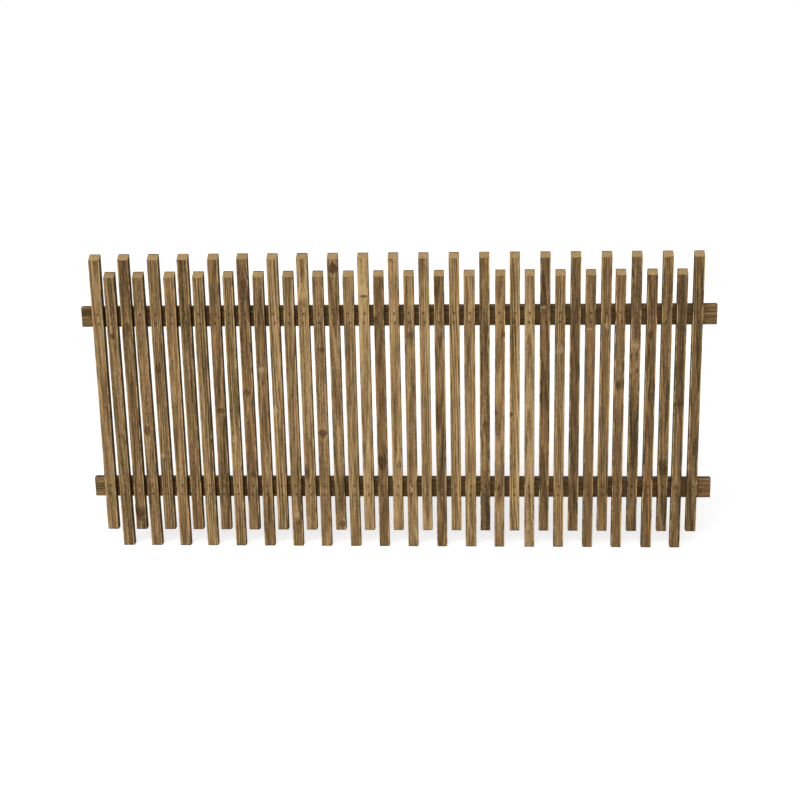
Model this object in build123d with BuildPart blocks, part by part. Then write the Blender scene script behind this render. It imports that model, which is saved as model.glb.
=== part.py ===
from build123d import *
from math import atan2, cos, sin
import os

os.makedirs("parts", exist_ok=True)

# Picket fence panel, in millimetres. Two flat rails carry 41 narrow pickets, nailed on in front.
# X runs along the rails, Y goes from the front to the back, Z is up. The origin is at the middle
# of the top rail's back face, in the plane that meets the fence posts.

# Rails
rail_length = 1800.0
rail_height = 58.0
rail_thickness = 22.0
rail_arris = 1.0

# Pickets
picket_count = 41
picket_width = 29.0          # the plain width

# Pickets from batches that were sawn wider: by how much, and which ones
sawn_wider = {2.5: (1, 2, 3, 4, 5, 6, 7, 8, 11), 1.5: (9, 12, 13, 14, 15, 16, 17, 18, 19, 26)}

picket_thickness = 22.0
picket_length = 815.0        # along the back, where the sloping top is highest
picket_top_drop = 15.0       # the top slopes down to the front by this much
picket_arris = 1.2
picket_stagger = 50.0        # every other picket stands this much higher

# Where the pickets lie on the rails
left_overhang = 37.0         # bare end of the rails before a first picket of plain width, in its place
right_overhang = 42.0        # bare end of the rails after the last picket
top_reach = 131.0            # a low picket's top above the top rail's centreline
bottom_reach = 175.0         # a low picket's foot below the bottom rail's centreline

# Pickets that were nailed on out of plumb: how far the top stands to the right of the foot
picket_lean = {1: 3.0, 2: -2.0, 4: -4.0, 9: 2.0, 28: 4.0, 30: -2.0, 35: 2.0, 39: -2.0}

# Pickets that were nailed on a little beside their place: how far to the right
picket_shift = {1: 1.0, 4: -2.0, 6: 1.0, 8: -1.5, 10: -1.5, 11: -1.5, 12: -1.0, 13: -1.0, 14: -1.0, 15: -1.5,
                16: -1.5, 36: -2.0, 37: -1.0, 40: -2.0}

# Nails, two at each crossing, one above the other
nail_shank_diameter = 2.5
nail_head_diameter = 5.0
nail_head_thickness = 1.0
nail_point_length = 4.0
nail_spacing = 26.0
nail_below_centre = 2.0      # the pair's middle below the rail's centreline
nail_recess = 0.3            # the head's face below the picket's face
nail_cover = 4.0             # wood left behind the nail's point
nail_clearance = 0.05        # round the shank and the head, and ahead of the point
nail_drift = (0.0, -2.0, 1.0, 2.0, -1.0)    # sideways, nail after nail, as nails driven by hand

# Sizes that follow
panel_depth = rail_thickness + picket_thickness
rail_spacing = picket_length - top_reach - bottom_reach
picket_span = rail_length - left_overhang - right_overhang - picket_width
picket_pitch = picket_span / (picket_count - 1)
first_picket_x = -rail_length / 2 + left_overhang + picket_width / 2
nail_length = panel_depth - nail_recess - nail_cover
top_rail_z = 0.0
bottom_rail_z = top_rail_z - rail_spacing

front_face = Plane.XZ.offset(panel_depth)
rail_front_face = Plane.XZ.offset(rail_thickness)


def own_width(number):
    """A picket's own width, because the sticks were sawn in batches."""
    for extra, numbers in sawn_wider.items():
        if number in numbers:
            return picket_width + extra
    return picket_width


def picket_middle(number):
    """X and Z of a picket's middle. Odd pickets are the high ones."""
    x = first_picket_x + (number - 1) * picket_pitch + picket_shift.get(number, 0.0)
    low_foot_z = bottom_rail_z - bottom_reach
    foot_z = low_foot_z + (picket_stagger if number % 2 else 0.0)
    return x, foot_z + picket_length / 2


def nail_points(number, rail_z):
    """X and Z of the two nails that hold a picket to a rail. They follow the picket's lean."""
    middle_x, middle_z = picket_middle(number)
    lean = picket_lean.get(number, 0.0) / picket_length
    pair_z = rail_z - nail_below_centre
    heights = (pair_z + nail_spacing / 2, pair_z - nail_spacing / 2)
    first_nail = 2 * number if rail_z == top_rail_z else 2 * number + 1
    points = []
    for nail_number, z in enumerate(heights, first_nail):
        drift = nail_drift[nail_number % len(nail_drift)]
        points.append((middle_x + lean * (z - middle_z) + drift, z))
    return points


def on_face(face, points):
    """Places on an upright face, looking out of it."""
    return [face.location * Location((x, z, 0.0)) for x, z in points]


# One picket: a side profile with a sloping top, drawn out to the picket's width
def build_picket(number):
    middle_x, middle_z = picket_middle(number)
    tilt = atan2(picket_lean.get(number, 0.0), picket_length)
    side_face = Plane(
        origin=(middle_x, -rail_thickness, middle_z),
        x_dir=(0, -1, 0),
        z_dir=(-cos(tilt), 0, sin(tilt)),
    )
    nails = nail_points(number, top_rail_z) + nail_points(number, bottom_rail_z)
    with BuildPart() as picket:
        with BuildSketch(side_face):
            with BuildLine():
                Polyline(
                    (0.0, -picket_length / 2),
                    (picket_thickness, -picket_length / 2),
                    (picket_thickness, picket_length / 2 - picket_top_drop),
                    (0.0, picket_length / 2),
                    close=True,
                )
            make_face()
        extrude(amount=own_width(number) / 2, both=True)
        long_edges = picket.edges().sort_by(SortBy.LENGTH)[-4:]
        chamfer(long_edges, length=picket_arris)
        with Locations(*on_face(front_face, nails)):
            CounterBoreHole(
                radius=nail_shank_diameter / 2 + nail_clearance,
                counter_bore_radius=nail_head_diameter / 2 + nail_clearance,
                counter_bore_depth=nail_recess + nail_head_thickness + nail_clearance,
                depth=picket_thickness,
            )
    picket.part.label = f"picket_{number:02d}"
    return picket


# One rail: a flat board with a blind nail hole behind each nail of each picket
def build_rail(label, rail_z):
    nails = []
    for number in range(1, picket_count + 1):
        nails += nail_points(number, rail_z)
    nail_depth = rail_thickness - nail_cover + nail_clearance
    with BuildPart() as rail:
        with BuildSketch(Plane.XZ):
            with Locations((0.0, rail_z)):
                Rectangle(rail_length, rail_height)
        extrude(amount=rail_thickness)
        chamfer(rail.edges().filter_by(Axis.X), length=rail_arris)
        with Locations(*on_face(rail_front_face, nails)):
            Hole(radius=nail_shank_diameter / 2 + nail_clearance, depth=nail_depth)
    rail.part.label = label
    return rail


# One wire nail: flat head at the origin, point towards +Y
def build_nail():
    shank_radius = nail_shank_diameter / 2
    with BuildPart() as nail:
        with BuildSketch(Plane.XY):
            with BuildLine():
                Polyline(
                    (0.0, 0.0),
                    (nail_head_diameter / 2, 0.0),
                    (nail_head_diameter / 2, nail_head_thickness),
                    (shank_radius, nail_head_thickness),
                    (shank_radius, nail_length - nail_point_length),
                    (0.0, nail_length),
                    close=True,
                )
            make_face()
        revolve(axis=Axis.Y)
    return nail


# All the nails along one rail, as separate solids of one group
def build_rail_nails(label, rail_z, nail):
    head_y = -panel_depth + nail_recess
    places = []
    for number in range(1, picket_count + 1):
        for x, z in nail_points(number, rail_z):
            places.append(Location((x, head_y, z)))
    with BuildPart() as rail_nails:
        with Locations(*places):
            add(nail.part)
    rail_nails.part.label = label
    return rail_nails


nail = build_nail()
pieces = [build_picket(number) for number in range(1, picket_count + 1)]
pieces.append(build_rail("top_rail", top_rail_z))
pieces.append(build_rail("bottom_rail", bottom_rail_z))
pieces.append(build_rail_nails("top_rail_nails", top_rail_z, nail))
pieces.append(build_rail_nails("bottom_rail_nails", bottom_rail_z, nail))

for piece in pieces:
    export_step(piece.part, f"parts/{piece.part.label}.step")

print(f"picket pitch {picket_pitch:.2f} mm, rail spacing {rail_spacing:.1f} mm")
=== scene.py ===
import math
import random

import bpy
from mathutils import Matrix, Vector


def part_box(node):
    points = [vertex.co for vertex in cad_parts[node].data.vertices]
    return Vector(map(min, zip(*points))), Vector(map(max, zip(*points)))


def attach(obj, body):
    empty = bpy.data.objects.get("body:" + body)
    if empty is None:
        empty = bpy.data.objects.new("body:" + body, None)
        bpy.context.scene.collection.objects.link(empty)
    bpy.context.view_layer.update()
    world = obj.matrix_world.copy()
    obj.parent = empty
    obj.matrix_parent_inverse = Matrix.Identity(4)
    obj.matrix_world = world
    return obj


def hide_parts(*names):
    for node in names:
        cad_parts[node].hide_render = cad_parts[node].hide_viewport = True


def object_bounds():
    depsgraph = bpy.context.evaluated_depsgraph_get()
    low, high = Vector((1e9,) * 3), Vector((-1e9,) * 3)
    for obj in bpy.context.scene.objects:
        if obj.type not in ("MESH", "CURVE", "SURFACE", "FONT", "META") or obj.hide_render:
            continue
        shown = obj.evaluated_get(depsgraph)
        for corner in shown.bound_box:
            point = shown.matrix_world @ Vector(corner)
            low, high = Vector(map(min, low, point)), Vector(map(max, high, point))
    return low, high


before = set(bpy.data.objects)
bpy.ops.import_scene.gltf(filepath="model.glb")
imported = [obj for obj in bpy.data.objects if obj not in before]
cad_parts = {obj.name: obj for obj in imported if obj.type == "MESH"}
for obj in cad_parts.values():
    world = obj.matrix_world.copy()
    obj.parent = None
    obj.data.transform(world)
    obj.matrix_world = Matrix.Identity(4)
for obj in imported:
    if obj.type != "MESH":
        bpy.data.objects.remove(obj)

# Picket fence panel: sawn, brown-impregnated pine. Metres; X along the rails, Y to the back, Z up.
cad_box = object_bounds()

MM = 0.001
PICKET_COUNT = 41
RAILS = ("top_rail", "bottom_rail")

# Shape of a picket
PICKET_TOP_DROP = 15 * MM        # the top slopes down to the front
LONG_ARRIS = 1.0 * MM
END_ARRIS = 0.8 * MM
PICKET_RING_STEP = 7 * MM        # spacing of the mesh's rings along the grain
RAIL_RING_STEP = 12 * MM
FACE_STEP = 3.7 * MM             # spacing of the mesh's lines across a face

# How uneven the sawn faces are
GRAIN_RELIEF = 0.32 * MM         # ridges along the grain
SAWN_RELIEF = 0.18 * MM          # small lumps and hollows
CROOK = 1.0 * MM                 # sideways wander over the whole length

# Nails
NAIL_HEAD_RADIUS = 2.5 * MM
NAIL_SHANK_RADIUS = 1.25 * MM
NAIL_LENGTH = 39.7 * MM
NAIL_HOLE_CLEARANCE = 0.05 * MM
NAIL_WELL_RADIUS = 3.3 * MM      # crushed rim round a driven head
NAIL_POINT = 4 * MM
NAIL_SIDES = 10
WELL_SIDES = 12
RAIL_HOLE_SIDES = 8

# Knots seen from the front: picket, height, how far right of the middle, half width, half height, tone.
# Millimetres; a tone under 0 is dark and over 0 is pale.
KNOTS = (
    (1, -260, 4, 5, 6, -0.5), (2, -51, -2, 7, 9, -0.9), (3, -30, 2, 7, 9, -0.7),
    (3, -583, -3, 9, 12, -0.9), (4, -332, -5, 10, 14, -0.8), (5, -147, -3, 8, 11, -0.9),
    (5, -407, -6, 6, 5, 0.9), (7, -20, 2, 6, 8, -0.4), (9, -272, 3, 10, 7, -0.9),
    (10, -359, -3, 7, 14, 0.8), (11, 96, 3, 9, 12, -0.9), (11, -218, -2, 10, 9, -0.7),
    (11, -464, 4, 9, 10, -0.8), (12, -150, 0, 8, 8, 0.8), (12, -190, 3, 5, 5, -0.7),
    (13, -270, -5, 7, 9, 0.6), (14, -587, -3, 8, 9, 0.8), (14, -612, 3, 9, 7, -0.6),
    (15, 42, 0, 10, 12, -0.5), (15, -457, -9, 7, 24, -0.9), (16, -93, 4, 10, 8, -0.8),
    (16, -338, 2, 14, 8, -0.8), (17, 140, 1, 14, 14, -1.0), (17, -615, 6, 12, 10, -0.7),
    (19, 60, 2, 10, 4, -0.9), (20, -3, -9, 6, 8, -0.9), (20, -425, 0, 14, 10, -0.7),
    (21, -434, 5, 8, 9, -0.5), (22, -54, 3, 8, 11, -0.6), (22, -505, -3, 5, 12, 0.9),
    (24, -40, 3, 8, 14, 0.4), (24, -560, 0, 5, 22, -0.7), (27, -30, 3, 6, 10, -0.5),
    (27, -317, 4, 10, 14, -0.6), (28, -51, 11, 6, 8, -0.9), (28, -278, -12, 5, 8, -1.0),
    (28, -506, -2, 6, 7, -0.9), (29, -284, -10, 6, 7, -0.9), (31, 27, -3, 9, 4, 0.5),
    (32, -96, 3, 8, 9, 0.5), (34, -36, -4, 10, 3, 0.7), (35, -24, 2, 6, 11, 0.6),
    (36, -197, 0, 8, 6, -0.8), (37, -84, 0, 10, 8, 0.6), (37, -155, 5, 5, 7, -0.8),
    (38, -54, -3, 7, 12, -1.0), (38, -230, 7, 9, 12, -0.8), (39, -434, -2, 10, 8, -0.6),
    (40, -254, 4, 13, 7, -0.9), (40, -500, 0, 9, 9, -0.6), (41, -385, 3, 6, 22, -0.9),
)
# On the rails: along the rail, above its middle, half width, half height, tone
RAIL_KNOTS = {
    "top_rail": (
        (-880, 10, 8, 7, -0.8), (-420, 8, 9, 7, -0.7), (95, -12, 8, 9, -0.8), (560, 10, 7, 8, -0.6),
    ),
    "bottom_rail": (
        (-700, 6, 8, 9, -0.7), (-130, -10, 9, 7, -0.6), (300, 12, 8, 8, -0.8), (690, -14, 10, 9, -0.9),
    ),
}

# Patches and stripes of another tone, which the grain doesn't flow round: as the knots above
PATCHES = (
    (3, -35, 0, 20, 26, -0.5), (3, -585, -2, 16, 26, -0.6), (8, -250, 8, 8, 480, -0.5),
    (11, 90, 0, 20, 60, -0.6), (12, -420, 2, 9, 60, 0.4), (15, 0, -9, 8, 44, -0.4),
    (15, 70, 0, 20, 40, 0.4), (19, 75, 0, 20, 18, 0.5), (21, 98, 3, 12, 34, -0.4),
    (21, 172, -9, 8, 16, -0.9), (22, -36, 0, 16, 40, -0.3), (27, -560, 0, 20, 130, -0.4),
    (29, -250, 8, 6, 460, 0.5), (30, -200, 0, 24, 420, 0.2), (36, -197, 0, 20, 16, -0.6),
    (39, -444, 0, 22, 24, -0.7), (20, -426, 0, 22, 24, -0.5), (16, -340, 2, 20, 16, -0.5),
    (37, -84, 0, 20, 22, 0.5), (6, -300, 6, 9, 200, 0.2), (9, -440, 9, 7, 260, -0.4),
    (14, -520, 8, 8, 120, -0.4), (26, -80, -8, 7, 240, -0.3), (33, -250, 0, 24, 480, -0.3),
)
RAIL_PATCHES = {
    "top_rail": ((-876, 16, 24, 18, -0.3), (880, 2, 40, 2, 0.4), (-878, -2, 30, 1.6, 0.5)),
    "bottom_rail": ((-884, 22, 24, 10, 0.3), (-876, 4, 40, 3, -0.3), (690, -12, 34, 16, -0.6)),
}

# Painted shade: the rails are darker along this stretch, in the pickets' shade
RAIL_SHADED_SPAN = (-862, 858)       # the stretch behind the pickets, in millimetres

# How much lighter or darker than the rest single pickets are, in rounded groups set from their
# mean colours
# The darker tones of the right-hand pickets also hold painted shade: light that falls off towards the right
PICKET_TONES_AND_SHADE = (
    (-0.26, (37,)),
    (-0.20, (31, 38, 40, 41)),
    (-0.15, (20, 24, 33, 39)),
    (-0.12, (3, 7, 11, 36)),
    (-0.08, (9, 12, 17, 27, 34, 35)),
    (-0.05, (5,)),
    (0.05, (1, 6, 28)),
    (0.09, (8, 13, 22, 23, 25, 26, 30)),
    (0.12, (15, 21)),
    (0.19, (19,)),
)
RED_PICKETS = (6, 11, 20, 28, 31, 34, 36, 38, 9)
OLIVE_PICKETS = (2, 3, 7, 10, 24, 32, 35, 37, 39, 41)
STRIPED_PICKETS = (5, 8, 10, 13, 14, 18, 23, 25, 29, 32, 35)
SPECKLED_PICKETS = (2, 4, 7, 15, 16, 17, 27, 30, 37, 39)
EVEN_PICKETS = (14, 20, 33, 34, 35)

# Chipped arrises: picket, height in millimetres, side and radius in millimetres
CHIPS = (
    (4, -108, 1, 5), (4, -160, 1, 7), (8, 118, -1, 4), (16, -150, 1, 6), (21, 176, -1, 6),
    (28, -280, -1, 4), (27, -405, -1, 5), (32, -678, 1, 6), (38, -245, 1, 5), (41, -560, 1, 4),
    (13, -275, -1, 4), (1, 172, 1, 4),
)
# Drying splits in from an end: picket, end, right of the middle and length in millimetres
SPLITS = (
    (2, 1, 4, 38), (7, -1, -5, 46), (12, 1, -3, 30), (18, -1, 6, 52), (23, 1, 2, 34), (25, -1, -4, 40),
    (32, -1, 8, 60), (35, 1, -6, 42), (39, -1, 3, 36),
)
SPLIT_WIDTH = 1.1 * MM
SPLIT_TIP = 0.05                 # width of a split's inner end, as a share of its mouth
SPLIT_DEPTH = 9 * MM
CHIP_SHAPE = (0.55, 0.7, 2.4)    # chips are longer along the grain
CHIP_ROUGHNESS = 0.5             # share of a chip's radius

NEAR_END = 20 * MM               # what counts as a picket's end when its lean is read
SMOOTH_ANGLE = math.radians(32)

# Noise in the wood: how fine it is across the grain and along it, per millimetre, detail and roughness
WOOD_NOISE = {
    "wander": (0.03, 0.0045, 1.0, 0.5),
    "ragged": (0.35, 0.12, 2.0, 0.5),
    "fibres": (0.50, 0.018, 4.0, 0.7),
    "flecks": (0.38, 0.090, 3.0, 0.65),
    "streaks": (0.20, 0.0030, 2.0, 0.6),
    "blotches": (0.045, 0.009, 3.0, 0.6),
    "highlight_noise": (0.05, 0.018, 3.0, 0.7),
}

# Knots, rings and patches in the wood. A rim is where a mark starts to fade and where it has gone.
SPOT_WANDER = 6
FLOW_ACROSS = 1.5                # how far the grain bends round a knot, in knots
FLOW_ALONG = 2.4
FLOW_PULL = 0.75
KNOT_ACROSS = 1.15
KNOT_ALONG = 1.1
KNOT_RAGGED = 1.1
KNOT_RIM = (0.55, 1.25)
PITH_WANDER = 12
RING_RAGGED = 0.9
LATEWOOD_STARTS = (0.25, 0.85)
LATEWOOD_ENDS = (0.90, 1.0)
PATCH_RAGGED = 1.2
PATCH_RIM = (0.5, 1.15)
PATCH_STRENGTH = 0.45

# Painted light and marks at the edges: two distances in from an edge, in millimetres, where they start and
# where they are full. The foot and outline bands are painted shade and the arris bands painted highlight
BACK_LINE = (3.6, 2.0)
FOOT_SHADE = (4.0, 1.5)
UPPER_EDGE = (2.4, 0.8)
HIGHLIGHT_FRONT = (3.8, 2.0)
HIGHLIGHT_SIDE = (2.2, 0.8)
OUTLINE = (1.6, 0.7)
BLUR = 2                         # half width of a soft border, in millimetres
FRONT_SKIN = (3, 6)              # how deep nail stain goes, in millimetres
NAIL_STAIN_HALF = (3.2, 4.6)
NAIL_STAIN_DROP = 0.8

# Which way a face looks, and which mottle is tinted: from none to all of it
END_FACING = (0.45, 0.75)
SIDE_FACING = (0.6, 0.95)
RED_MOTTLE = (-0.04, 0.14)
RED_END = (600, 800)             # along a rail, in millimetres
BROWN_MOTTLE = (-0.16, 0.02)     # below this the wood is olive
HIGHLIGHT_PLACES = (-0.08, 0.10)

# Wood colours, linear
PALE_WOOD = (0.550, 0.372, 0.168, 1)
BROWN_WOOD = (0.236, 0.142, 0.057, 1)
DARK_WOOD = (0.055, 0.030, 0.010, 1)
RED_TINT = (1.0, 0.85, 0.76, 1)
OLIVE_TINT = (0.85, 0.92, 0.74, 1)
# Painted highlight along the arrises
ARRIS_HIGHLIGHT_COLOUR = (0.700, 0.450, 0.190, 1)
# End-grain colour with painted light from above in it, so it is paler than the faces
END_WOOD = (0.780, 0.520, 0.235, 1)
END_DARK = (0.100, 0.056, 0.020, 1)
KNOT_DARK = (0.058, 0.024, 0.008, 1)
KNOT_PALE = (0.600, 0.430, 0.220, 1)
NAIL_STAIN = (0.030, 0.018, 0.010, 1)

CAMERA_PLACE = (0.305, -3.741, 0.732)
CAMERA_YAW = math.radians(-3.16)
CAMERA_PITCH = math.radians(14.71)
CAMERA_ROLL = math.radians(-0.86)
IMAGE_SIDE = 800
FOCAL_PIXELS = 1344
PRINCIPAL_X = 432
SENSOR_MM = 36

FLOOR_SIDE = 60
FLOOR_DROP = 0.5 * MM
FLOOR_GREY = (0.86, 0.86, 0.86, 1)
CAMERA_REACH = 200

# Lamps: name, azimuth, elevation, strength and width. Azimuth 0 shines from the front and 90 from the
# right, in degrees.
SKY_FILL = 0.13
FLOOR_GLOW = 0.61
SUNS = (
    ("key", -16, 30, 2.25, 62),
    ("fill", 35, 12, 0.25, 70),
    ("back", 180, 28, 0.6, 30),
)


def select_only(piece):
    bpy.ops.object.select_all(action="DESELECT")
    piece.select_set(True)
    bpy.context.view_layer.objects.active = piece


def apply_place(piece):
    """Puts the piece's place and turn into its mesh, and its origin at the world's origin."""
    select_only(piece)
    bpy.ops.object.transform_apply(location=True, rotation=True, scale=True)


def apply_modifier(piece, kind, **settings):
    modifier = piece.modifiers.new(kind.lower(), kind)
    for key, value in settings.items():
        setattr(modifier, key, value)
    select_only(piece)
    bpy.ops.object.modifier_apply(modifier=modifier.name)


def copy_of(piece, name):
    twin = piece.copy()
    twin.data = piece.data.copy()
    twin.name = name
    bpy.context.scene.collection.objects.link(twin)
    return twin


def select_edges(piece, wanted):
    """Selects the edges for which wanted(first end, second end) is true. The piece is in edit mode."""
    bpy.ops.mesh.select_all(action="DESELECT")
    bpy.ops.object.mode_set(mode="OBJECT")
    points = piece.data.vertices
    for edge in piece.data.edges:
        first, second = (points[i].co for i in edge.vertices)
        edge.select = wanted(first, second)
    bpy.ops.object.mode_set(mode="EDIT")


def cut_lines(axis, low, high, step):
    """Cuts lines over the whole mesh, square to an axis, step apart between two limits."""
    count = max(2, round((high - low) / step))
    for number in range(1, count):
        place = Vector((0, 0, 0))
        place[axis] = low + (high - low) * number / count
        normal = Vector((0, 0, 0))
        normal[axis] = 1
        bpy.ops.mesh.select_all(action="SELECT")
        bpy.ops.mesh.bisect(plane_co=place, plane_no=normal)


def board(name, size, grain_axis, ring_step, top_drop=0):
    """A board about the world's origin, with softened edges and a mesh fine enough to be made uneven."""
    bpy.ops.object.select_all(action="DESELECT")
    bpy.ops.mesh.primitive_cube_add(size=1, scale=size)
    piece = bpy.context.object
    piece.name = name
    apply_place(piece)
    half = [side / 2 for side in size]
    bpy.ops.object.mode_set(mode="EDIT")
    bpy.ops.mesh.select_mode(type="EDGE")
    if top_drop:
        select_edges(piece, lambda a, b: a.z > 0 and b.z > 0 and a.y < 0 and b.y < 0)
        bpy.ops.transform.translate(value=(0, 0, -top_drop))
    select_edges(piece, lambda a, b: abs(a[grain_axis] - b[grain_axis]) > half[grain_axis])
    bpy.ops.mesh.bevel(offset=LONG_ARRIS, segments=2)
    end = half[grain_axis] - top_drop - END_ARRIS
    select_edges(
        piece,
        lambda a, b: abs(a[grain_axis]) > end and abs(b[grain_axis]) > end
        and a[grain_axis] * b[grain_axis] > 0 and abs(a[grain_axis] - b[grain_axis]) < half[grain_axis],
    )
    bpy.ops.mesh.bevel(offset=END_ARRIS, segments=2)
    for axis in range(3):
        if axis == grain_axis:
            cut_lines(axis, -half[axis] + 2 * END_ARRIS, half[axis] - 2 * END_ARRIS, ring_step)
        else:
            cut_lines(axis, -half[axis] + LONG_ARRIS, half[axis] - LONG_ARRIS, FACE_STEP)
    bpy.ops.object.mode_set(mode="OBJECT")
    return piece


def cloud(name, scale, depth):
    texture = bpy.data.textures.new(name, "CLOUDS")
    texture.noise_scale = scale
    texture.noise_depth = depth
    return texture


def gauge(name, stretch):
    """An empty whose scale stretches a texture along the grain."""
    empty = bpy.data.objects.new(name, None)
    bpy.context.scene.collection.objects.link(empty)
    empty.scale = stretch
    return empty


def roughen(piece, grain_gauge, sawn_gauge, crook_gauge, crook_direction):
    """Gives a board ridges along its grain, sawn lumps and a slight crook, all inside its own size."""
    apply_modifier(
        piece, "DISPLACE", texture=GRAIN_CLOUD, texture_coords="OBJECT",
        texture_coords_object=grain_gauge, mid_level=1.0, strength=GRAIN_RELIEF,
    )
    apply_modifier(
        piece, "DISPLACE", texture=SAWN_CLOUD, texture_coords="OBJECT",
        texture_coords_object=sawn_gauge, mid_level=1.0, strength=SAWN_RELIEF,
    )
    if crook_direction:
        apply_modifier(
            piece, "DISPLACE", texture=CROOK_CLOUD, texture_coords="OBJECT", direction=crook_direction,
            texture_coords_object=crook_gauge, mid_level=0.5, strength=CROOK,
        )


def turned(name, profile, sides):
    """A round piece about Y, from (y, radius) points."""
    first_y, first_radius = profile[0]
    bpy.ops.object.select_all(action="DESELECT")
    bpy.ops.mesh.primitive_circle_add(
        vertices=sides, radius=first_radius, fill_type="NGON",
        location=(0, first_y, 0), rotation=(math.radians(90), 0, 0),
    )
    piece = bpy.context.object
    piece.name = name
    apply_place(piece)
    bpy.ops.object.mode_set(mode="EDIT")
    bpy.ops.mesh.select_all(action="SELECT")
    for (last_y, last_radius), (y, radius) in zip(profile, profile[1:]):
        bpy.ops.mesh.extrude_region_move(TRANSFORM_OT_translate={"value": (0, y - last_y, 0)})
        ratio = radius / last_radius
        bpy.ops.transform.resize(value=(ratio, 1, ratio), center_override=(0, y, 0))
    bpy.ops.mesh.select_all(action="SELECT")
    bpy.ops.mesh.normals_make_consistent(inside=False)
    bpy.ops.object.mode_set(mode="OBJECT")
    return piece


def joined(name, pieces):
    bpy.ops.object.select_all(action="DESELECT")
    for piece in pieces:
        piece.select_set(True)
    bpy.context.view_layer.objects.active = pieces[0]
    if len(pieces) > 1:
        bpy.ops.object.join()
    pieces[0].name = name
    apply_place(pieces[0])
    return pieces[0]


def copies_at(piece, name, places):
    """Copies of a piece at several places, joined."""
    twins = []
    for number, place in enumerate(places):
        twin = copy_of(piece, f"{name}_{number:03d}")
        twin.location = place
        twins.append(twin)
    return joined(name, twins)


def cut_away(piece, cutter):
    apply_modifier(piece, "BOOLEAN", operation="DIFFERENCE", solver="EXACT", object=cutter)
    bpy.data.objects.remove(cutter)


def remove(*pieces):
    for piece in pieces:
        bpy.data.objects.remove(piece)


def nail_heads(node):
    """Centres of the nail heads' outer faces, read from the node that holds the nails."""
    front_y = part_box(node)[0].y
    heads = []
    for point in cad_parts[node].data.vertices:
        if point.co.y > front_y + 0.05 * MM:
            continue
        for head in heads:
            if (head[0] - point.co).length < 3 * NAIL_HEAD_RADIUS:
                head.append(point.co.copy())
                break
        else:
            heads.append([point.co.copy()])
    places = []
    for head in heads:
        low_x, high_x = min(p.x for p in head), max(p.x for p in head)
        low_z, high_z = min(p.z for p in head), max(p.z for p in head)
        places.append(Vector(((low_x + high_x) / 2, front_y, (low_z + high_z) / 2)))
    return places


class Wire:
    """A number in a node tree. Arithmetic on it adds the nodes that work it out."""

    def __init__(self, nodes, socket):
        self.nodes = nodes
        self.socket = socket

    def __add__(self, other):
        return self.nodes.math("ADD", self, other)

    def __radd__(self, other):
        return self.nodes.math("ADD", other, self)

    def __sub__(self, other):
        return self.nodes.math("SUBTRACT", self, other)

    def __rsub__(self, other):
        return self.nodes.math("SUBTRACT", other, self)

    def __mul__(self, other):
        return self.nodes.math("MULTIPLY", self, other)

    def __truediv__(self, other):
        return self.nodes.math("DIVIDE", self, other)

    def __neg__(self):
        return self.nodes.math("MULTIPLY", self, -1)

    def __abs__(self):
        return self.nodes.math("ABSOLUTE", self)


class Nodes:
    """The node tree of a material or a world while it is made."""

    def __init__(self, owner):
        owner.use_nodes = True
        self.owner = owner
        self.tree = owner.node_tree
        self.tree.nodes.clear()

    def add(self, kind, settings=None, sockets=None, output=0):
        """Adds a node: its settings first, then its sockets' values or wires. Gives one output as a wire."""
        node = self.tree.nodes.new("ShaderNode" + kind)
        for key, value in (settings or {}).items():
            if key == "stops":
                self.set_stops(node.color_ramp, value)
            else:
                setattr(node, key, value)
        for key, value in (sockets or {}).items():
            if isinstance(value, Wire):
                self.tree.links.new(value.socket, node.inputs[key])
            else:
                node.inputs[key].default_value = value
        return Wire(self, node.outputs[output]) if len(node.outputs) else None

    def set_stops(self, ramp, stops):
        while len(ramp.elements) < len(stops):
            ramp.elements.new(0.5)
        for element, (place, colour) in zip(ramp.elements, stops):
            element.position = place
            element.color = colour

    def math(self, operation, *values):
        return self.add("Math", {"operation": operation}, dict(enumerate(values)))

    def most(self, first, second):
        return self.math("MAXIMUM", first, second)

    def clamped(self, value):
        return self.add("Clamp", None, {0: value})

    def rise(self, value, low, high):
        """Rises smoothly from 0 to 1 as the value goes from low to high."""
        settings = {"interpolation_type": "SMOOTHSTEP"}
        return self.add("MapRange", settings, {"Value": value, "From Min": low, "From Max": high})

    def length(self, x, y):
        return self.math("SQRT", x * x + y * y)

    def noise(self, x, y, z, detail=2.0, roughness=0.5):
        """Noise about 0, mostly between -0.25 and 0.25."""
        place = self.add("CombineXYZ", None, {"X": x, "Y": y, "Z": z})
        sockets = {"Vector": place, "Scale": 1.0, "Detail": detail, "Roughness": roughness}
        return self.add("TexNoise", None, sockets) - 0.5

    def mix(self, factor, first, second, blend="MIX"):
        settings = {"data_type": "RGBA", "blend_type": blend}
        return self.add("Mix", settings, {0: factor, 6: first, 7: second}, output=2)

    def split(self, vector):
        return [self.add("SeparateXYZ", None, {0: vector}, output=axis) for axis in "XYZ"]

    def place(self):
        """The shaded point's X, Y and Z on the piece, in metres."""
        return self.split(self.add("TexCoord", output="Object"))

    def normal(self):
        return self.split(self.add("NewGeometry", output="Normal"))


class Stick:
    """Coordinates in one stick of wood: u and v across the grain and w along it, in millimetres."""

    def __init__(self, nodes, centre, size, lean, grain_axis):
        x, y, z = nodes.place()
        normal_x, _, normal_z = nodes.normal()
        self.v = (y - centre.y) * 1000
        if grain_axis == 2:
            self.w = (z - centre.z) * 1000
            self.u = (x - centre.x) * 1000 - self.w * lean
            self.side, self.end = normal_x, normal_z
            self.half_u, self.half_w = size.x * 500, size.z * 500
        else:
            self.w = (x - centre.x) * 1000
            self.u = (z - centre.z) * 1000
            self.side, self.end = normal_z, normal_x
            self.half_u, self.half_w = size.z * 500, size.x * 500
        self.half_v = size.y * 500


def spot(nodes, stick, across, along, half_across, half_along, wander):
    """Distance from a mark's middle, where 1 is its edge."""
    from_middle_u = (stick.u - across + wander * SPOT_WANDER) / half_across
    from_middle_w = (stick.w - along) / half_along
    return nodes.length(from_middle_u, from_middle_w)


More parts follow.
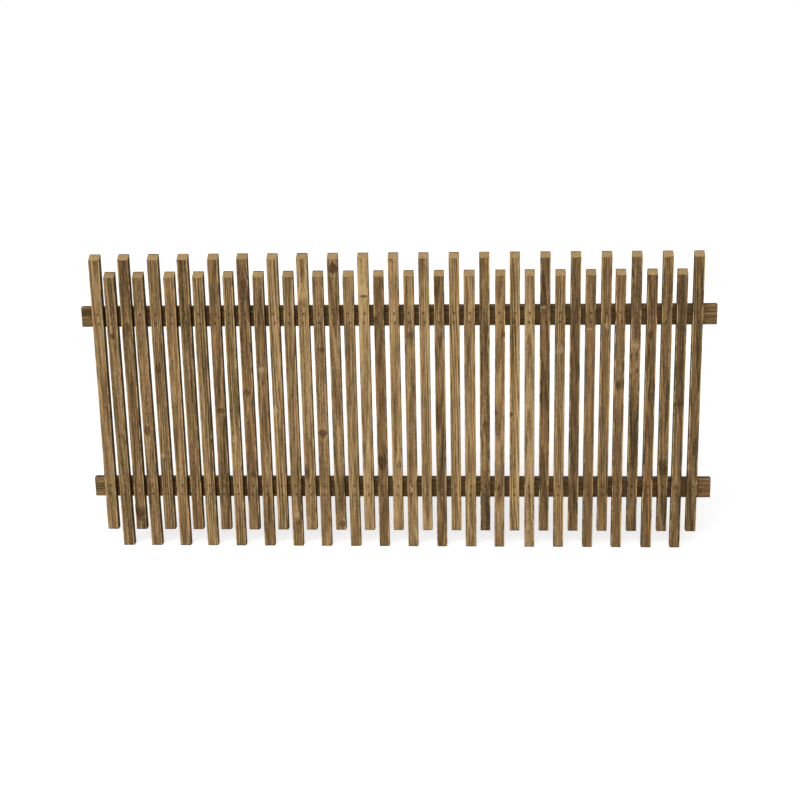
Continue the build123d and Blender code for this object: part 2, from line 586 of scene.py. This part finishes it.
def wood_noise(nodes, stick, kind, across, seed, seed_along_v=False):
    """Noise drawn out along the grain. The seed shifts it along u, or along v."""
    fine, coarse, detail, roughness = WOOD_NOISE[kind]
    x = across * fine
    y = stick.v * fine
    if seed_along_v:
        y = y + seed
    else:
        x = x + seed
    return nodes.noise(x, y, stick.w * coarse, detail, roughness)


def near_rim(nodes, value, half, distances):
    """Rises from 0 to 1 between two distances in from a rim, in millimetres."""
    start, full = distances
    return nodes.rise(value, half - start, half - full)


def knot_marks(nodes, stick, knots, wander, ragged):
    """How the grain flows round the knots, and how much dark and pale knot is at a point."""
    flow = stick.u
    dark_mark = 0.0
    pale_mark = 0.0
    for across, along, half_across, half_along, tone in knots:
        near = spot(
            nodes, stick, across, along, half_across * FLOW_ACROSS, half_along * FLOW_ALONG, wander
        )
        flow = flow - (stick.u - across) * nodes.math("EXPONENT", near * near * -1) * FLOW_PULL
        reach = spot(
            nodes, stick, across, along, half_across * KNOT_ACROSS, half_along * KNOT_ALONG, wander
        )
        mark = 1 - nodes.rise(reach + ragged * KNOT_RAGGED, *KNOT_RIM)
        if tone < 0:
            dark_mark = nodes.most(mark * -tone, dark_mark)
        else:
            pale_mark = nodes.most(mark * tone, pale_mark)
    return flow, dark_mark, pale_mark


def latewood_rings(nodes, stick, look, flow, wander, ragged):
    """The dark part of the growth rings, round a pith that lies off the stick and wanders."""
    pith_u, pith_v = look["pith"]
    slope_u, slope_v = look["slope"]
    from_pith_u = flow - pith_u - stick.w * slope_u + wander * PITH_WANDER
    from_pith_v = stick.v - pith_v - stick.w * slope_v
    radius = nodes.length(from_pith_u, from_pith_v) + ragged * RING_RAGGED
    turn = nodes.math("FRACT", radius / look["ring"])
    return nodes.rise(turn, *LATEWOOD_STARTS) * (1 - nodes.rise(turn, *LATEWOOD_ENDS))


def patch_tone(nodes, stick, patches, wander, ragged):
    """How much the patches lighten or darken the wood."""
    total = 0.0
    for across, along, half_across, half_along, tone in patches:
        reach = spot(nodes, stick, across, along, half_across, half_along, wander) + ragged * PATCH_RAGGED
        total = total + (1 - nodes.rise(reach, *PATCH_RIM)) * (tone * PATCH_STRENGTH)
    return total


def sawn_colour(nodes, stick, look, shade, mottle):
    """Brown wood from dark to pale, tinted red and olive in places."""
    stops = [(0.0, DARK_WOOD), (0.5, BROWN_WOOD), (1.0, PALE_WOOD)]
    colour = nodes.add("ValToRGB", {"stops": stops}, {"Fac": nodes.clamped(shade)})
    red = nodes.rise(mottle, *RED_MOTTLE) * look["red"]
    if look["red_end"]:
        amount, end_side, above = look["red_end"]
        at_end = nodes.rise(stick.w * end_side, *RED_END)
        red = red + at_end * nodes.rise(stick.u, above - BLUR, above + BLUR) * amount
    olive = (1 - nodes.rise(mottle, *BROWN_MOTTLE)) * look["olive"]
    colour = nodes.mix(nodes.clamped(red), colour, RED_TINT, "MULTIPLY")
    return nodes.mix(olive, colour, OLIVE_TINT, "MULTIPLY")


def with_end_grain(nodes, stick, look, colour, latewood, fibres, flecks):
    """Cut ends show the rings. Ends that face up are painted paler, as light from above makes them, and ends
    that face down get painted shade; on a rail the end towards +X counts as up. A dark line runs along the
    back.
    """
    upward = nodes.rise(stick.end, *END_FACING)
    downward = nodes.rise(-stick.end, *END_FACING)
    end_shade = nodes.clamped(1.05 - latewood + fibres * 2.8 + flecks * 1.8)
    end_colour = nodes.mix(end_shade, END_DARK, END_WOOD)
    # Painted light: ends that face up take the pale end colour
    colour = nodes.mix(upward * look["end_grain_and_top_light"], colour, end_colour)
    # Painted shade on ends that face down
    colour = nodes.mix(downward * 0.5, colour, DARK_WOOD)
    back_edge = upward * near_rim(nodes, stick.v, stick.half_v, BACK_LINE)
    return nodes.mix(back_edge * look["back_edge"], colour, DARK_WOOD)


def with_painted_side_shade(nodes, stick, look, colour, side):
    """Painted shade: darker at the foot and on the side faces (on a rail, its top and bottom faces), where
    the shade between the pieces falls. A rail is also darker along its upper edge.
    """
    foot = near_rim(nodes, -stick.w, stick.half_w, FOOT_SHADE)
    # Painted shade at the foot
    colour = nodes.mix(foot * 0.7, colour, DARK_WOOD)
    # Painted shade on the side faces
    colour = nodes.mix(side * look["side_shade"], colour, DARK_WOOD)
    upper_edge = near_rim(nodes, stick.u, stick.half_u, UPPER_EDGE)
    return nodes.mix(upper_edge * look["upper_dark"], colour, DARK_WOOD)


def with_painted_arris_light(nodes, stick, look, colour, side, fibres):
    """Painted highlight on the arrises in places, and a painted dark outline of shade along both long edges,
    weaker under the highlight.
    """
    near_edge = near_rim(nodes, abs(stick.u), stick.half_u, HIGHLIGHT_FRONT)
    near_edge = near_edge * near_rim(nodes, abs(stick.v), stick.half_v, HIGHLIGHT_SIDE)
    highlight_noise = wood_noise(nodes, stick, "highlight_noise", stick.u, look["seed"], seed_along_v=True)
    # Painted highlight in places along the arrises
    arris_highlight = near_edge * nodes.rise(highlight_noise + fibres * 0.4, *HIGHLIGHT_PLACES) * (1 - side)
    colour = nodes.mix(arris_highlight * look["arris_highlight"], colour, ARRIS_HIGHLIGHT_COLOUR)
    # Painted shade: a dark outline along both long edges
    outline = near_rim(nodes, abs(stick.u), stick.half_u, OUTLINE) * (1 - arris_highlight * 0.5)
    return nodes.mix(outline * 0.6, colour, DARK_WOOD)


def with_picket_shade(nodes, stick, look, colour):
    """Painted shade: a rail is darker along the stretch behind the pickets, where their shade falls."""
    if not look["picket_shade_span"]:
        return colour
    left, right = look["picket_shade_span"]
    past_left = nodes.rise(stick.w, left - BLUR, left + BLUR)
    past_right = nodes.rise(stick.w, right - BLUR, right + BLUR)
    return nodes.mix(past_left * (1 - past_right) * 0.3, colour, DARK_WOOD)


def with_knots(nodes, colour, dark_mark, pale_mark, ragged):
    knot_grain = nodes.clamped(ragged * 2 + 0.35)
    dark_knot = nodes.mix(knot_grain * 0.5, KNOT_DARK, BROWN_WOOD)
    pale_knot = nodes.mix(knot_grain, KNOT_PALE, BROWN_WOOD)
    colour = nodes.mix(dark_mark * 0.95, colour, dark_knot)
    return nodes.mix(pale_mark * 0.8, colour, pale_knot)


def with_nail_stains(nodes, stick, look, colour, ragged):
    """Iron stain round the nails, on the front only."""
    surface, inside = FRONT_SKIN
    front = 1 - nodes.rise(stick.v, surface - stick.half_v, inside - stick.half_v)
    stain = 0.0
    for across, along in look["nails"]:
        reach = spot(nodes, stick, across, along - NAIL_STAIN_DROP, *NAIL_STAIN_HALF, ragged)
        stain = nodes.most(nodes.math("EXPONENT", reach * reach * -1), stain)
    return nodes.mix(front * stain * 0.6, colour, NAIL_STAIN)


def pine(name, centre, size, lean, grain_axis, look):
    """Sawn pine, from one solid pattern of growth rings, so that its faces and ends match."""
    nodes = Nodes(bpy.data.materials.new(name))
    stick = Stick(nodes, centre, size, lean, grain_axis)
    seed = look["seed"]
    wander = wood_noise(nodes, stick, "wander", stick.u, seed)
    ragged = wood_noise(nodes, stick, "ragged", stick.u, seed)
    flow, dark_mark, pale_mark = knot_marks(nodes, stick, look["knots"], wander, ragged)
    latewood = latewood_rings(nodes, stick, look, flow, wander, ragged)
    fibres = wood_noise(nodes, stick, "fibres", flow, seed)
    flecks = wood_noise(nodes, stick, "flecks", flow, seed)
    streaks = wood_noise(nodes, stick, "streaks", flow, seed)
    blotches = wood_noise(nodes, stick, "blotches", stick.u, seed, seed_along_v=True)
    patches = patch_tone(nodes, stick, look["patches"], wander, ragged)

    shade = look["tone"] + (0.4 - latewood) * look["contrast"] + fibres * 1.75 + flecks * look["fleck"]
    shade = shade + streaks * look["streak"] + blotches * 0.55 + patches
    side = nodes.rise(abs(stick.side), *SIDE_FACING)
    colour = sawn_colour(nodes, stick, look, shade, blotches + streaks * 0.7)
    colour = with_end_grain(nodes, stick, look, colour, latewood, fibres, flecks)
    colour = with_painted_side_shade(nodes, stick, look, colour, side)
    colour = with_painted_arris_light(nodes, stick, look, colour, side, fibres)
    colour = with_picket_shade(nodes, stick, look, colour)
    colour = with_knots(nodes, colour, dark_mark, pale_mark, ragged)
    colour = with_nail_stains(nodes, stick, look, colour, ragged)

    saw_marks = nodes.math("SINE", stick.w * 1.9 + stick.u * 0.25 + wander * 9) * 0.08
    height = fibres * 1.4 + flecks * 0.4 - latewood * 0.3 + saw_marks
    relief = nodes.add("Bump", None, {"Strength": 0.6, "Distance": 0.0006, "Height": height})
    sockets = {
        "Base Color": colour,
        "Roughness": fibres * 0.4 + 0.80,
        "Normal": relief,
        "Specular IOR Level": 0.2,
    }
    nodes.add("OutputMaterial", None, {"Surface": nodes.add("BsdfPrincipled", None, sockets)})
    return nodes.owner


def tone_of(number):
    for tone, pickets in PICKET_TONES_AND_SHADE:
        if number in pickets:
            return tone
    return 0.0


def marks_of(number, marks, centre):
    """One picket's marks, with heights from its middle."""
    return [
        (across, height - centre.z * 1000, half_width, half_height, tone)
        for picket, height, across, half_width, half_height, tone in marks
        if picket == number
    ]


def picket_look(number, centre, lean, nails, chance):
    """How one picket's wood differs from its neighbours'."""
    striped = number in STRIPED_PICKETS
    side = chance.choice((-1, 1))
    depth = side * chance.uniform(20, 60)
    look = {
        "seed": number * 7.3,
        "tone": 0.485 + tone_of(number) + chance.uniform(-0.02, 0.02),
        "red": 0.9 if number in RED_PICKETS else chance.uniform(0.1, 0.5),
        "olive": 0.9 if number in OLIVE_PICKETS else chance.uniform(0.1, 0.5),
        "red_end": None,
        "picket_shade_span": None,
        "pith": (side * chance.uniform(25, 60) if striped else chance.uniform(-9, 9), depth),
        "slope": (chance.uniform(-0.01, 0.01), chance.uniform(-0.02, 0.02)),
        "ring": chance.uniform(2.6, 4.4),
        "contrast": 0.45 if striped else 0.29,
        "streak": 1.4 if striped else 0.95,
        "fleck": 1.2 if number in SPECKLED_PICKETS else 0.7,
        "side_shade": 0.62,
        "upper_dark": 0.0,
        "end_grain_and_top_light": chance.uniform(0.7, 1.0),
        "back_edge": chance.choice((0.4, 0.7, 1.0)),
        "arris_highlight": chance.uniform(0.6, 1.0),
        "knots": marks_of(number, KNOTS, centre),
        "patches": marks_of(number, PATCHES, centre),
        "nails": [
            ((p.x - centre.x) * 1000 - (p.z - centre.z) * 1000 * lean, (p.z - centre.z) * 1000) for p in nails
        ],
    }
    if number in EVEN_PICKETS:
        look["streak"] *= 0.6
        look["fleck"] *= 0.7
        look["contrast"] *= 0.6
    return look


def rail_marks(marks):
    """A rail's marks in the order that a picket's marks have."""
    return [(across, along, tall, wide, tone) for along, across, wide, tall, tone in marks]


def rail_look(number, rail, chance):
    return {
        "seed": 400 + number * 9.1,
        "tone": 0.325,
        "red": 0.3,
        "olive": 0.6,
        "red_end": (0.9, -1, 0) if rail == "top_rail" else (0.7, 1, -40),
        "picket_shade_span": RAIL_SHADED_SPAN,
        "pith": (chance.uniform(-30, 30), 48),
        "slope": (0.006, 0.004),
        "ring": 3.6,
        "contrast": 0.20,
        "streak": 0.5,
        "fleck": 0.9,
        "side_shade": 0.3,
        "upper_dark": 0.65,
        "end_grain_and_top_light": 0.4,
        "back_edge": 0.3,
        "arris_highlight": 0.5,
        "knots": rail_marks(RAIL_KNOTS[rail]),
        "patches": rail_marks(RAIL_PATCHES[rail]),
        "nails": [],
    }


def nail_steel():
    """Dulled wire nail with rust in the hollows of its head."""
    nodes = Nodes(bpy.data.materials.new("dulled nail steel"))
    x, y, z = nodes.place()
    rust = nodes.noise(x * 900, y * 900, z * 900, 3.0, 0.6)
    grime = nodes.noise(x * 60, y * 60, z * 60)
    amount = nodes.rise(rust + grime * 0.8, -0.15, 0.15)
    colour = nodes.mix(amount, (0.045, 0.038, 0.032, 1), (0.080, 0.032, 0.012, 1))
    relief = nodes.add("Bump", None, {"Strength": 0.5, "Distance": 0.0002, "Height": rust})
    sockets = {
        "Base Color": colour,
        "Metallic": 0.7 - amount * 0.6,
        "Roughness": amount * 0.35 + 0.5,
        "Normal": relief,
    }
    nodes.add("OutputMaterial", None, {"Surface": nodes.add("BsdfPrincipled", None, sockets)})
    return nodes.owner


def lean_and_width(node):
    """How far a picket's top stands to the right of its foot, per unit of length, and its width."""
    low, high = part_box(node)
    points = [point.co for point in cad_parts[node].data.vertices]
    tops = [p.x for p in points if p.z > high.z - NEAR_END]
    feet = [p.x for p in points if p.z < low.z + NEAR_END]
    rise = (min(tops) + max(tops) - min(feet) - max(feet)) / 2
    return rise / (high.z - low.z), max(feet) - min(feet)


def chip_cutter(place, radius, number):
    """A rough lump that takes a bite out of an arris."""
    bpy.ops.object.select_all(action="DESELECT")
    bpy.ops.mesh.primitive_ico_sphere_add(subdivisions=2, radius=radius, location=place)
    cutter = bpy.context.object
    cutter.name = f"chip_{number}"
    cutter.scale = CHIP_SHAPE
    apply_place(cutter)
    apply_modifier(
        cutter, "DISPLACE", texture=CHIP_CLOUD, texture_coords="GLOBAL",
        mid_level=0.5, strength=radius * CHIP_ROUGHNESS,
    )
    return cutter


def split_cutter(place, end, length, depth):
    """A thin wedge that opens a drying split in from an end."""
    bpy.ops.object.select_all(action="DESELECT")
    bpy.ops.mesh.primitive_cone_add(
        vertices=4, radius1=SPLIT_WIDTH, radius2=SPLIT_WIDTH * SPLIT_TIP, depth=length * 2,
        location=place, rotation=(math.radians(180) if end > 0 else 0, 0, 0),
    )
    cutter = bpy.context.object
    cutter.scale = (0.5, depth / SPLIT_WIDTH, 1)
    apply_place(cutter)
    return cutter


def chip_and_split(picket, number, centre, width, low, high):
    """Takes the chips out of a picket's arrises and opens its drying splits."""
    for index, (owner, height, side, radius) in enumerate(CHIPS):
        if owner == number:
            corner = Vector((centre.x + side * width / 2, low.y, height * MM))
            cut_away(picket, chip_cutter(corner, radius * MM, index))
    for owner, end, across, length in SPLITS:
        if owner == number:
            end_z = high.z - PICKET_TOP_DROP / 2 if end > 0 else low.z
            place = Vector((centre.x + across * MM, low.y, end_z))
            cut_away(picket, split_cutter(place, end, length * MM, SPLIT_DEPTH))


def dress(piece, material, node, slot):
    """Gives a piece its one material, and notes the node that it replaces."""
    piece.data.materials.clear()
    piece.data.materials.append(material)
    finished.append((piece, node, slot))


def at_front(nails):
    """The nails' places, moved to the pickets' front face."""
    return [Vector((nail_place.x, cad_box[0][1], nail_place.z)) for nail_place in nails]


def make_picket(number):
    """A picket cut from the blank of its width, placed, made uneven, drilled and worn."""
    node = f"picket_{number:02d}"
    low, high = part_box(node)
    centre = (low + high) / 2
    lean, width = lean_and_width(node)
    size = Vector((width, *(upright_high - upright_low).yz))
    width_key = round(width / MM)
    if width_key not in blanks:
        blank_name = f"picket_blank_{width_key}"
        blanks[width_key] = board(blank_name, size, 2, PICKET_RING_STEP, PICKET_TOP_DROP)
    picket = copy_of(blanks[width_key], f"sawn_picket_{number:02d}")
    picket.location = centre
    picket.rotation_euler = (0, math.atan(lean), 0)
    apply_place(picket)
    roughen(picket, picket_grain, sawn_gauge, crook_gauge, "X")
    nails = [
        place for rail in RAILS for place in nail_places[rail]
        if abs(place.x - centre.x) < size.x / 2
    ]
    cut_away(picket, copies_at(well, "nail_wells", at_front(nails)))
    chip_and_split(picket, number, centre, size.x, low, high)
    look = picket_look(number, centre, lean, nails, chance)
    wood = pine(f"picket pine {number:02d}", centre, size, lean, 2, look)
    dress(picket, wood, node, "picket_wood")


def make_rail(number, rail):
    """A rail, with its grain along X and a hole behind each nail."""
    low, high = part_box(rail)
    centre = (low + high) / 2
    size = high - low
    plank = board(f"sawn_{rail}", size, 0, RAIL_RING_STEP)
    plank.location = centre
    apply_place(plank)
    roughen(plank, rail_grain, sawn_gauge, crook_gauge, None)
    cut_away(plank, copies_at(rail_hole, "rail_holes", at_front(nail_places[rail])))
    wood = pine(f"{rail} pine", centre, size, 0, 0, rail_look(number, rail, chance))
    dress(plank, wood, rail, "rail_wood")


GRAIN_CLOUD = cloud("ridges along the grain", 0.25, 2)
SAWN_CLOUD = cloud("sawn lumps", 0.25, 1)
CROOK_CLOUD = cloud("slow crook", 0.25, 0)
CHIP_CLOUD = cloud("torn fibres", 0.004, 2)

picket_grain = gauge("picket_grain_gauge", (0.016, 0.016, 0.5))
rail_grain = gauge("rail_grain_gauge", (0.5, 0.016, 0.016))
sawn_gauge = gauge("sawn_gauge", (0.03, 0.03, 0.05))
crook_gauge = gauge("crook_gauge", (0.9, 0.9, 1.6))

# Nails: one driven nail, copied to every place
nail_places = {rail: nail_heads(f"{rail}_nails") for rail in RAILS}
nail = turned(
    "wire_nail",
    (
        (0.10 * MM, NAIL_HEAD_RADIUS * 0.5), (0, NAIL_HEAD_RADIUS * 0.8), (0.25 * MM, NAIL_HEAD_RADIUS),
        (0.95 * MM, NAIL_HEAD_RADIUS * 0.96), (1.3 * MM, NAIL_SHANK_RADIUS),
        (NAIL_LENGTH - NAIL_POINT, NAIL_SHANK_RADIUS), (NAIL_LENGTH, NAIL_SHANK_RADIUS * 0.1),
    ),
    NAIL_SIDES,
)
nail_finish = nail_steel()
finished = []
for rail in RAILS:
    nails = copies_at(nail, f"{rail}_driven_nails", nail_places[rail])
    dress(nails, nail_finish, f"{rail}_nails", "nail_steel")

# Cutters for the nails' wells and holes, from the front face of the pickets
head_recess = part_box("top_rail_nails")[0].y - cad_box[0][1]
hole_radius = NAIL_SHANK_RADIUS + NAIL_HOLE_CLEARANCE
head_hole_radius = NAIL_HEAD_RADIUS + NAIL_HOLE_CLEARANCE
well = turned(
    "nail_well",
    (
        (-1 * MM, NAIL_WELL_RADIUS * 1.3), (head_recess * 0.3, NAIL_WELL_RADIUS),
        (head_recess + 0.3 * MM, head_hole_radius), (head_recess + 1.4 * MM, head_hole_radius),
        (head_recess + 1.5 * MM, hole_radius), (24 * MM, hole_radius),
    ),
    WELL_SIDES,
)
rail_hole = turned(
    "rail_hole",
    ((20 * MM, hole_radius), (NAIL_LENGTH + head_recess + 0.1 * MM, hole_radius)),
    RAIL_HOLE_SIDES,
)

# Pickets, from one blank for each width, and rails
upright_low, upright_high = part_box("picket_05")
blanks = {}
chance = random.Random(41)
for number in range(1, PICKET_COUNT + 1):
    make_picket(number)
for number, rail in enumerate(RAILS):
    make_rail(number, rail)

remove(nail, well, rail_hole, *blanks.values(), picket_grain, rail_grain, sawn_gauge, crook_gauge)

for piece, node, slot in finished:
    select_only(piece)
    bpy.ops.object.shade_smooth_by_angle(angle=SMOOTH_ANGLE)
    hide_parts(node)
    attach(piece, "root")


# Floor, light and camera
def white_rays(nodes):
    """1 for rays that show the background: straight to the camera, mirrored or through glass."""
    camera = nodes.add("LightPath", output="Is Camera Ray")
    mirrored = nodes.add("LightPath", output="Is Glossy Ray")
    through = nodes.add("LightPath", output="Is Transmission Ray")
    return nodes.most(nodes.most(camera, mirrored), through)


def floor_finish():
    """Pale floor that shows white to the camera where no shadow lies."""
    nodes = Nodes(bpy.data.materials.new("pale floor"))
    matt = nodes.add("BsdfDiffuse", None, {"Color": FLOOR_GREY})
    glow = nodes.add("Emission", None, {"Strength": white_rays(nodes) * FLOOR_GLOW})
    nodes.add("OutputMaterial", None, {"Surface": nodes.add("AddShader", None, {0: matt, 1: glow})})
    return nodes.owner


def place_floor():
    bpy.ops.object.select_all(action="DESELECT")
    bpy.ops.mesh.primitive_plane_add(size=FLOOR_SIDE, location=(0, 0, cad_box[0][2] - FLOOR_DROP))
    floor = bpy.context.object
    floor.name = "floor"
    apply_place(floor)
    floor.data.materials.append(floor_finish())


def place_sky():
    """White where the background shows, and a soft fill light for the rest."""
    bpy.context.scene.world = bpy.data.worlds.new("studio")
    nodes = Nodes(bpy.context.scene.world)
    seen = white_rays(nodes)
    sky = nodes.add("Background", None, {"Color": (1, 1, 1, 1), "Strength": seen + (1 - seen) * SKY_FILL})
    nodes.add("OutputWorld", None, {"Surface": sky})


def place_sun(name, azimuth, elevation, strength, width):
    lamp = bpy.data.lights.new(name, "SUN")
    lamp.energy = strength
    lamp.angle = math.radians(width)
    sun = bpy.data.objects.new(name, lamp)
    bpy.context.scene.collection.objects.link(sun)
    turn, rise = math.radians(azimuth), math.radians(elevation)
    towards = Vector((math.sin(turn) * math.cos(rise), -math.cos(turn) * math.cos(rise), math.sin(rise)))
    sun.rotation_euler = towards.to_track_quat("Z", "Y").to_euler()


def place_camera():
    camera_data = bpy.data.cameras.new("camera")
    camera_data.sensor_width = SENSOR_MM
    camera_data.lens = FOCAL_PIXELS / IMAGE_SIDE * SENSOR_MM
    camera_data.shift_x = (IMAGE_SIDE / 2 - PRINCIPAL_X) / IMAGE_SIDE
    camera_data.clip_end = CAMERA_REACH
    camera = bpy.data.objects.new("camera", camera_data)
    bpy.context.scene.collection.objects.link(camera)
    forward = Vector((
        math.sin(CAMERA_YAW) * math.cos(CAMERA_PITCH), math.cos(CAMERA_YAW) * math.cos(CAMERA_PITCH),
        -math.sin(CAMERA_PITCH),
    ))
    level_right = Vector((math.cos(CAMERA_YAW), -math.sin(CAMERA_YAW), 0))
    level_up = level_right.cross(forward)
    right = math.cos(CAMERA_ROLL) * level_right + math.sin(CAMERA_ROLL) * level_up
    up = math.cos(CAMERA_ROLL) * level_up - math.sin(CAMERA_ROLL) * level_right
    turn = Matrix((right, up, -forward)).transposed().to_4x4()
    camera.matrix_world = Matrix.Translation(Vector(CAMERA_PLACE)) @ turn
    bpy.context.scene.camera = camera


place_floor()
place_sky()
for sun in SUNS:
    place_sun(*sun)
place_camera()
bpy.context.scene.view_settings.view_transform = "Standard"
